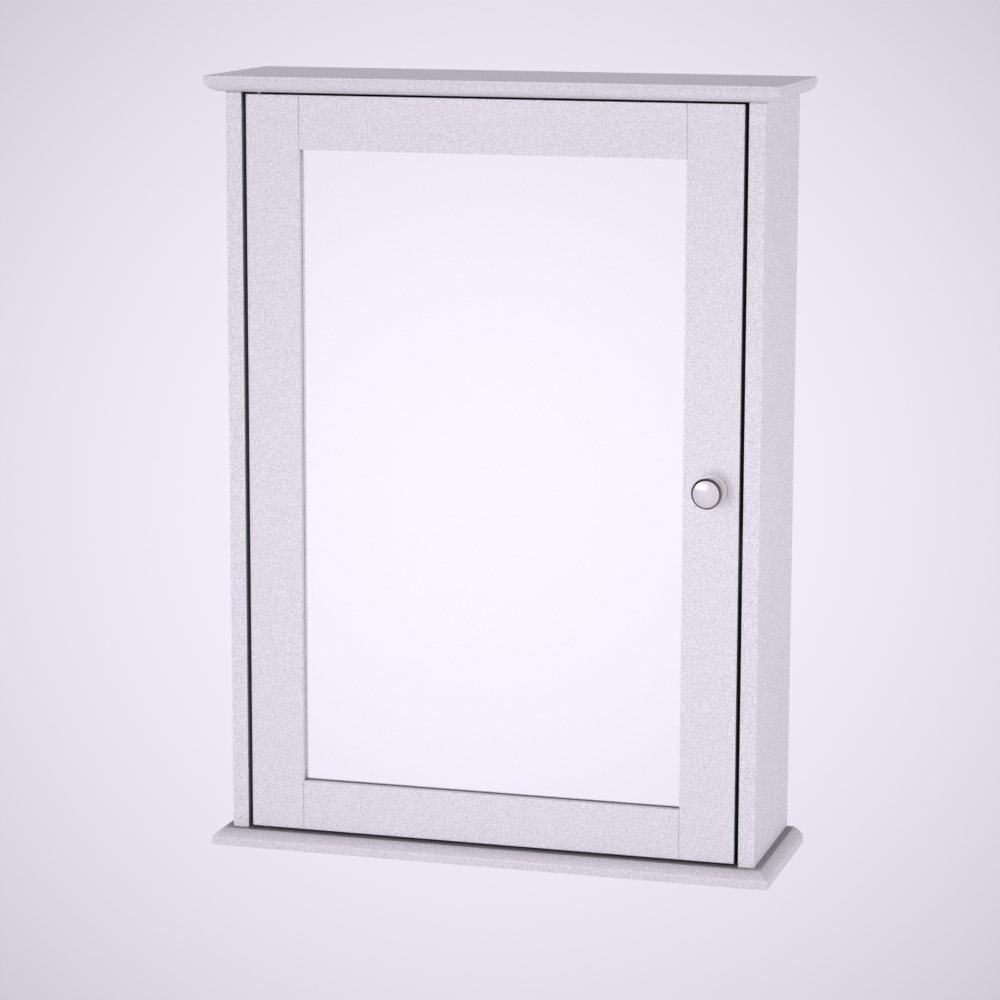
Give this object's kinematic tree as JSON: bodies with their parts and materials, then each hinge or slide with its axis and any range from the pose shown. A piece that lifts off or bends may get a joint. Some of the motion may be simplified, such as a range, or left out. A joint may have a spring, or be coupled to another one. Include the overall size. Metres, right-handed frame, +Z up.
{
  "type": "hanging wall cabinet",
  "caption": "Shallow wall-hung cabinet with moulded top and base boards, inside shelves and one framed mirror door on pivot pins, opened by a round knob and held by a magnetic catch.",
  "frame": {"origin": "on the wall plane, midway between the two wall-fixing holes", "axes": "+X to the right seen from the front, +Y into the wall, +Z up; the door is on the -Y side"},
  "size_m": [0.425, 0.1416, 0.575],
  "materials": {
    "white_paint": "satin white paint on fibreboard",
    "beech_dowel": "bare",
    "hardboard": "white lacquer inside, bare behind",
    "mirror": "silvered float glass",
    "dark_strip": "matte",
    "foam": "closed-cell foam sheet",
    "zinc_cam": "die-cast zinc",
    "white_plastic": "moulded",
    "nylon": "moulded",
    "magnet": "sintered ferrite",
    "satin_nickel": "satin nickel plate",
    "zinc_plated_steel": "zinc plate"
  },
  "bodies": {
    "cabinet": {"top_board": "white_paint", "base_board": "white_paint", "side_panel_left": "white_paint", "side_panel_right": "white_paint", "back_panel": "hardboard", "back_panel_pins": "zinc_plated_steel", "hanging_rail": "white_paint", "rail_dowels": "beech_dowel", "corner_dowels": "beech_dowel", "cam_bolts": "zinc_plated_steel", "cam_locks": "zinc_cam", "shelf_upper": "white_paint", "shelf_lower": "white_paint", "shelf_pins": "zinc_plated_steel", "catch_housing": "white_plastic", "catch_magnet": "magnet", "catch_pole_plates": "zinc_plated_steel", "catch_screws": "zinc_plated_steel", "pivot_pin_upper": "zinc_plated_steel", "pivot_pin_lower": "zinc_plated_steel"},
    "door": {"stile_hinge_side": "white_paint", "stile_knob_side": "white_paint", "rail_top": "white_paint", "rail_bottom": "white_paint", "frame_dowels": "beech_dowel", "mirror_glass": "mirror", "mirror_setting_strip": "dark_strip", "mirror_pad": "foam", "mirror_back_board": "white_paint", "mirror_clips": "zinc_plated_steel", "mirror_clip_screws": "zinc_plated_steel", "knob_rose": "satin_nickel", "knob_head": "satin_nickel", "knob_screw": "zinc_plated_steel", "pivot_bush_upper": "nylon", "pivot_bush_lower": "nylon", "strike_plate": "zinc_plated_steel", "strike_screws": "zinc_plated_steel"}
  },
  "joints": [
    {"name": "door_hinge", "type": "hinge", "parent": "cabinet", "child": "door", "pos_m": [-0.1765, -0.1125, -0.24525], "axis": [0, 0, -1], "range_deg": [0, 110]}
  ]
}
